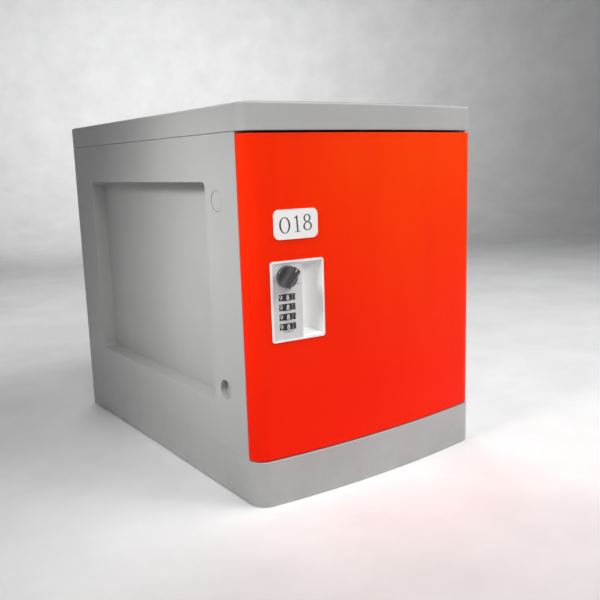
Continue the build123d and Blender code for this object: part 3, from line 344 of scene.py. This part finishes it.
def lock_moulding(name):
    """White moulding whose dial face has a fine grain and a rougher finish, and is coloured greyer than the rim
    and finger pocket as painted shade.
    """
    s = Shader(name)
    low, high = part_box("lock_housing")
    split = s.nodes.new("ShaderNodeSeparateXYZ")
    s.links.new(s.coords, split.inputs["Vector"])
    across, up = split.outputs["X"], split.outputs["Z"]
    edge = 0.0001
    left, right = low[0] + LOCK_RIM_W * MM, low[0] + DIAL_FACE_W * MM
    bottom, top = low[2] + LOCK_RIM_W * MM, high[2] - LOCK_RIM_W * MM
    past_left = s.ramp(across, left, left + edge)
    before_right = s.ramp(across, right, right + edge, 1.0, 0.0)
    inside = s.math("MULTIPLY", past_left, before_right)
    inside = s.math("MULTIPLY", inside, s.ramp(up, bottom, bottom + edge))
    inside = s.math("MULTIPLY", inside, s.ramp(up, top - edge, top, 1.0, 0.0))
    clouds = s.ramp(s.noise(40.0, 4.0, 0.6), 0.3, 0.7)
    # Painted shade: the dial face is coloured greyer than the rim and finger pocket.
    face = s.mix(clouds, scaled(LOCK_WHITE, 0.68), scaled(LOCK_WHITE, 0.80))
    white = s.mix(clouds, scaled(LOCK_WHITE, 0.97), LOCK_WHITE)
    s.colour(s.mix(inside, white, face))
    smear = s.ramp(s.noise(30.0, 5.0), 0.3, 0.7, 0.26, 0.36)
    s.roughness(s.math("ADD", smear, s.math("MULTIPLY", inside, 0.2)))
    grain = s.math("MULTIPLY", s.noise(2600.0, 2.0), inside)
    s.bump((grain, 0.5, 0.00004), (s.noise(210.0, 3.0, 0.5), 0.3, 0.00002))
    return s.material


def ground_steel(name, colour, rough=0.30):
    s = Shader(name)
    lines = s.noise(500.0, 3.0, 0.6, s.stretched((1.0, 1.0, 0.06)))
    stain = s.ramp(s.noise(90.0, 5.0, 0.65), 0.5, 0.8)
    tone = s.mix(stain, colour, scaled(colour, 0.72))
    s.colour(s.mix(s.math("MULTIPLY", s.edges(0.0004), 0.6), tone, scaled(colour, 1.25)))
    s.roughness(s.ramp(lines, 0.3, 0.7, rough - 0.08, rough + 0.14))
    s.set(Metallic=1.0)
    s.bump((lines, 0.25, 0.00002))
    return s.material


def dull_rubber(name, colour):
    s = Shader(name)
    bloom = s.ramp(s.noise(60.0, 5.0, 0.7), 0.45, 0.75)
    s.colour(s.mix(bloom, colour, tuple(c + 0.03 for c in colour)))
    s.roughness(s.ramp(bloom, 0.0, 1.0, 0.72, 0.9))
    s.bump((s.noise(1800.0, 3.0), 0.4, 0.00006))
    return s.material


SHELL_GREY = (0.43, 0.43, 0.425)
INNER_GREY = (0.50, 0.50, 0.49)
DOOR_RED = (0.95, 0.014, 0.0008)
# Lit end of the door's painted light, towards its top and hinge side
DOOR_LIT_ORANGE = (0.98, 0.050, 0.0012)
LOCK_WHITE = (0.88, 0.88, 0.875)


def make_materials():
    return {
        "shell_plastic": moulded("shell_plastic", SHELL_GREY, 0.46, low_darkening=0.35),
        "inner_plastic": moulded("inner_plastic", INNER_GREY, 0.42, grain=1100.0, grain_depth=0.00003),
        "door_plastic": door_moulding("door_plastic"),
        "lock_plastic": lock_moulding("lock_plastic"),
        "plate_plastic": glossy("plate_plastic", (0.90, 0.89, 0.87), 0.30, coat=0.1, wear=0.0),
        "knob_plastic": glossy("knob_plastic", (0.05, 0.048, 0.05), 0.32, coat=0.4),
        "wheel_plastic": glossy("wheel_plastic", (0.014, 0.014, 0.016), 0.22, coat=0.3),
        "carrier_plastic": moulded("carrier_plastic", (0.03, 0.03, 0.033), 0.5),
        "charger_plastic": moulded("charger_plastic", (0.05, 0.05, 0.055), 0.42),
        "steel": ground_steel("steel", (0.62, 0.61, 0.60)),
        "screw_steel": ground_steel("screw_steel", (0.66, 0.66, 0.64), 0.24),
        "rubber": dull_rubber("rubber", (0.018, 0.018, 0.018)),
        "nylon": moulded("nylon", (0.72, 0.70, 0.64), 0.4),
        "circuit_board": glossy("circuit_board", (0.012, 0.12, 0.045), 0.3),
        "indicator": glossy("indicator", (0.06, 0.55, 0.14), 0.12, coat=0.6),
        "white_print": glossy("white_print", (0.82, 0.82, 0.80), 0.4, coat=0.0, wear=0.0),
        "dark_print": glossy("dark_print", (0.045, 0.06, 0.05), 0.45, coat=0.0, wear=0.0),
        "grey_print": glossy("grey_print", (0.22, 0.22, 0.23), 0.5, coat=0.0, wear=0.0),
        "floor": moulded("floor", (0.88, 0.88, 0.88), 0.7, grain=300.0),
    }


def dress_nodes(materials):
    """Every CAD node gets its slot's material and shading that keeps flats flat and rounds round."""
    slots = {part["node"]: part["material_slot"] for part in frame["record"]["subparts"]}
    for name, obj in NODES.items():
        obj.data.materials.clear()
        obj.data.materials.append(materials[slots[name]])
        smooth(obj)


def smooth(obj):
    """Whole flat faces first, then small rounded edges, then normals that follow the large faces."""
    weld = obj.modifiers.new("weld", "WELD")
    weld.merge_threshold = WELD_GAP
    for polygon in obj.data.polygons:
        polygon.use_smooth = True
    planar = obj.modifiers.new("whole_flats", "DECIMATE")
    planar.decimate_type = "DISSOLVE"
    planar.angle_limit = math.radians(FLAT_ANGLE)
    bevel = obj.modifiers.new("soft_edges", "BEVEL")
    bevel.width = EDGE_WIDTH
    bevel.segments = 2
    bevel.limit_method = "ANGLE"
    bevel.angle_limit = math.radians(EDGE_ANGLE)
    bevel.harden_normals = True
    bevel.use_clamp_overlap = True
    weighted = obj.modifiers.new("flat_faces", "WEIGHTED_NORMAL")
    weighted.mode = "FACE_AREA"
    weighted.weight = FACE_WEIGHT
    weighted.keep_sharp = True


# ---- printed marks -----------------------------------------------------------------------------
def oval(u, v, half_w, half_h, start=0.0, end=360.0, steps=INK_CURVE_STEPS):
    """Points of an elliptical arc in degrees, anticlockwise from +u."""
    angles = [math.radians(start + (end - start) * i / steps) for i in range(steps + 1)]
    return [(u + half_w * math.cos(a), v + half_h * math.sin(a)) for a in angles]


def ribbon(path, half_width):
    """The two outlines of a stroke of even width along a path."""
    left, right = [], []
    for i, (u, v) in enumerate(path):
        before = path[max(i - 1, 0)]
        after = path[min(i + 1, len(path) - 1)]
        du, dv = after[0] - before[0], after[1] - before[1]
        span = math.hypot(du, dv) or 1.0
        nu, nv = -dv / span * half_width, du / span * half_width
        left.append((u + nu, v + nv))
        right.append((u - nu, v - nv))
    return left, right


def lay_band(mesh, left, right, place, lift=0.0):
    """One thin solid strip between two outlines, laid on a surface by place(u, v, height)."""
    closed = math.dist(left[0], left[-1]) < 1e-6
    count = len(left) - 1 if closed else len(left)
    rows = []
    high = PRINT_TOP + lift
    for (lu, lv), (ru, rv) in zip(left[:count], right[:count]):
        corners = ((lu, lv, high), (ru, rv, high), (ru, rv, PRINT_SUNK), (lu, lv, PRINT_SUNK))
        rows.append([mesh.verts.new(place(*corner)) for corner in corners])
    for i in range(count if closed else count - 1):
        a, b = rows[i], rows[(i + 1) % count]
        for k in range(4):
            mesh.faces.new((a[k], a[(k + 1) % 4], b[(k + 1) % 4], b[k]))
    if not closed:
        mesh.faces.new(rows[0])
        mesh.faces.new(rows[-1][::-1])


def printed(name, bands, place, material, body):
    """A printed mark: bands of (left outline, right outline), laid on a surface as one mesh."""
    mesh = bmesh.new()
    for index, (left, right) in enumerate(bands):
        lay_band(mesh, left, right, place, PRINT_LIFT * (index % PRINT_LIFTS))
    bmesh.ops.recalc_face_normals(mesh, faces=mesh.faces)
    data = bpy.data.meshes.new(name)
    mesh.to_mesh(data)
    mesh.free()
    data.materials.append(material)
    piece = bpy.data.objects.new(name, data)
    bpy.context.scene.collection.objects.link(piece)
    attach(piece, body)
    return piece


def serif_numerals():
    """The plate's three digits, 0 1 8, with thick sides and hairline crowns, in mm."""
    tall = 8.2
    zero = (oval(-11.8, 0, 6.2, tall), oval(-11.8, 0, 4.2, tall - 0.8))
    stem = ([(1.5, -tall + 0.3), (1.5, tall - 0.2)], [(3.3, -tall + 0.3), (3.3, tall)])
    foot = ([(-0.9, -tall + 0.6), (5.7, -tall + 0.6)], [(-0.9, -tall), (5.7, -tall)])
    flag_top = [(-0.6, tall - 1.9), (1.7, tall - 0.9), (3.1, tall)]
    flag_foot = [(-0.6, tall - 2.6), (1.7, tall - 2.4), (3.1, tall - 2.4)]
    upper = (oval(14.2, 4.2, 4.2, 4.0), oval(14.2, 4.2, 2.5, 3.2))
    lower = (oval(14.2, -3.8, 5.1, 4.4), oval(14.2, -3.8, 3.2, 3.6))
    return [zero, stem, foot, (flag_top, flag_foot), upper, lower]


def plain_digit(digit):
    """Stroke paths of a plain numeral in a box one unit wide and one high, centred on nothing."""
    strokes = {
        0: [oval(0.5, 0.5, 0.5, 0.5)],
        1: [[(0.15, 0.78), (0.6, 1.0)], [(0.6, 1.0), (0.6, 0.0)]],
        2: [oval(0.5, 0.72, 0.45, 0.28, 170, -35, 16) + [(0.03, 0.02)], [(0.0, 0.0), (1.0, 0.0)]],
        3: [oval(0.46, 0.75, 0.42, 0.25, 150, -90, 16), oval(0.46, 0.25, 0.48, 0.25, 90, -150, 16)],
        4: [[(0.72, 0.0), (0.72, 1.0)], [(0.72, 1.0), (0.0, 0.3)], [(0.0, 0.3), (1.0, 0.3)]],
        5: [[(0.9, 1.0), (0.15, 1.0)], [(0.15, 1.0), (0.1, 0.5)],
            oval(0.46, 0.32, 0.48, 0.32, 140, -150, 16)],
        6: [oval(0.5, 0.31, 0.46, 0.31), oval(0.98, 0.31, 0.94, 0.70, 180, 105, 12)],
        7: [[(0.0, 1.0), (1.0, 1.0)], [(1.0, 1.0), (0.35, 0.0)]],
        8: [oval(0.5, 0.76, 0.38, 0.24), oval(0.5, 0.27, 0.47, 0.27)],
        9: [oval(0.5, 0.69, 0.46, 0.31), oval(0.02, 0.69, 0.94, 0.70, 0, -75, 12)],
    }
    return strokes[digit]


def digit_bands(digit, width, height, half_stroke, shift=0.0):
    bands = []
    for path in plain_digit(digit):
        sized = [(shift + (u - 0.5) * width, (v - 0.5) * height) for u, v in path]
        bands.append(ribbon(sized, half_stroke))
    return bands


def joint_place(name):
    return Vector(JOINTS[name]["pos_m"])


def lock_axes():
    """Across the lock towards the hinge, up, and out of the door."""
    out = -Vector(JOINTS["knob_turn"]["axis"]).normalized()
    up = Vector((0, 0, 1))
    return up.cross(out), up, out


def add_plate_digits(material):
    low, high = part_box("number_plate")
    centre_x, centre_z = (low[0] + high[0]) / 2, (low[2] + high[2]) / 2
    arc_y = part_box("door_shell")[0][1] + DOOR_ARC_R * MM
    skin_r = (DOOR_ARC_R + PLATE_THICK) * MM
    tilt = math.radians(DIGITS_TILT)

    def on_plate(u, v, height):
        x = centre_x + (u * math.cos(tilt) - v * math.sin(tilt) - DIGITS_SHIFT) * MM
        y = arc_y - math.sqrt((skin_r + height * MM) ** 2 - x**2)
        return x, y, centre_z + (u * math.sin(tilt) + v * math.cos(tilt)) * MM

    printed("plate_digits", serif_numerals(), on_plate, material, "door")


def add_wheel_digits(material):
    across, up, out = lock_axes()
    for index in range(1, 5):
        centre = joint_place(f"wheel_{index}_turn")

        def on_wheel(u, v, height):
            angle = u / WHEEL_R
            arm = (across * math.sin(angle) + out * math.cos(angle)) * (WHEEL_R + height) * MM
            return centre + arm + up * v * MM

        bands = []
        for digit in range(WHEEL_DIGITS):
            turn = (SHOWN_DIGIT - digit) * 2 * math.pi / WHEEL_DIGITS
            bands += digit_bands(digit, WHEEL_DIGIT_W, WHEEL_DIGIT_H, WHEEL_STROKE, turn * WHEEL_R)
        printed(f"wheel_{index}_digits", bands, on_wheel, material, f"wheel_{index}")


def add_knob_pointer(material):
    """White paint in the notch at the pointer end of the grip bar."""
    across, up, out = lock_axes()
    centre = joint_place("knob_turn")
    turn = math.radians(KNOB_ANGLE)
    along = across * math.cos(turn) + up * math.sin(turn)
    side = up * math.cos(turn) - across * math.sin(turn)

    def in_notch(u, v, height):
        rise = KNOB_TOP - KNOB_NOTCH_DEPTH + (POINTER_TOP if height > 0 else -POINTER_SUNK)
        return centre + along * u * MM + side * v * MM + out * rise * MM

    path = [(u, 0.0) for u in KNOB_NOTCH]
    printed("knob_pointer", [ribbon(path, POINTER_HALF_W)], in_notch, material, "latch_knob")


def add_lock_marks(material):
    """Small plain ticks: beside the knob at its two stops, and a shallow arc under the dials."""
    across, up, out = lock_axes()
    centre = joint_place("knob_turn")

    def on_face(u, v, height):
        return centre + across * u * MM + up * v * MM + out * (LOCK_FACE + height) * MM

    bands = []
    for row in range(4):
        v = 1.5 - 2.1 * row
        bands.append(ribbon([(-14.4, v), (-13.2, v)], 0.5))
    for column in range(2):
        u = 11.6 + 2.0 * column
        bands.append(ribbon([(u, -8.0), (u + 1.2, -8.0)], 0.55))
    bands.append(ribbon(oval(0.4, -48.3, 14.0, 8.2, 245, 295, 14), 0.35))
    printed("lock_marks", bands, on_face, material, "door")


# ---- studio ------------------------------------------------------------------------------------
def add_studio(materials):
    """A pale floor that sweeps up into a round pale wall far behind the object."""
    flat_r, bend_r, wall_h, sides, bend_steps = 2.6, 0.9, 1.6, 96, 12
    profile = [(0.02, 0.0), (flat_r, 0.0)]
    for step in range(1, bend_steps + 1):
        angle = math.pi / 2 * step / bend_steps
        profile.append((flat_r + bend_r * math.sin(angle), bend_r * (1 - math.cos(angle))))
    profile.append((flat_r + bend_r, bend_r + wall_h))
    mesh = bmesh.new()
    rings = []
    for radius, z in profile:
        angles = [2 * math.pi * k / sides for k in range(sides)]
        rings.append([mesh.verts.new((radius * math.cos(a), radius * math.sin(a), z)) for a in angles])
    mesh.faces.new(rings[0])
    for inner, outer in zip(rings, rings[1:]):
        for k in range(sides):
            mesh.faces.new((inner[k], outer[k], outer[(k + 1) % sides], inner[(k + 1) % sides]))
    data = bpy.data.meshes.new("studio")
    mesh.to_mesh(data)
    mesh.free()
    for polygon in data.polygons:
        polygon.use_smooth = True
    data.materials.append(materials["floor"])
    studio = bpy.data.objects.new("studio", data)
    bpy.context.scene.collection.objects.link(studio)


def main():
    materials = make_materials()
    add_camera()
    add_lights()
    add_studio(materials)
    dress_nodes(materials)
    add_plate_digits(materials["dark_print"])
    add_wheel_digits(materials["white_print"])
    add_knob_pointer(materials["white_print"])
    add_lock_marks(materials["grey_print"])


main()
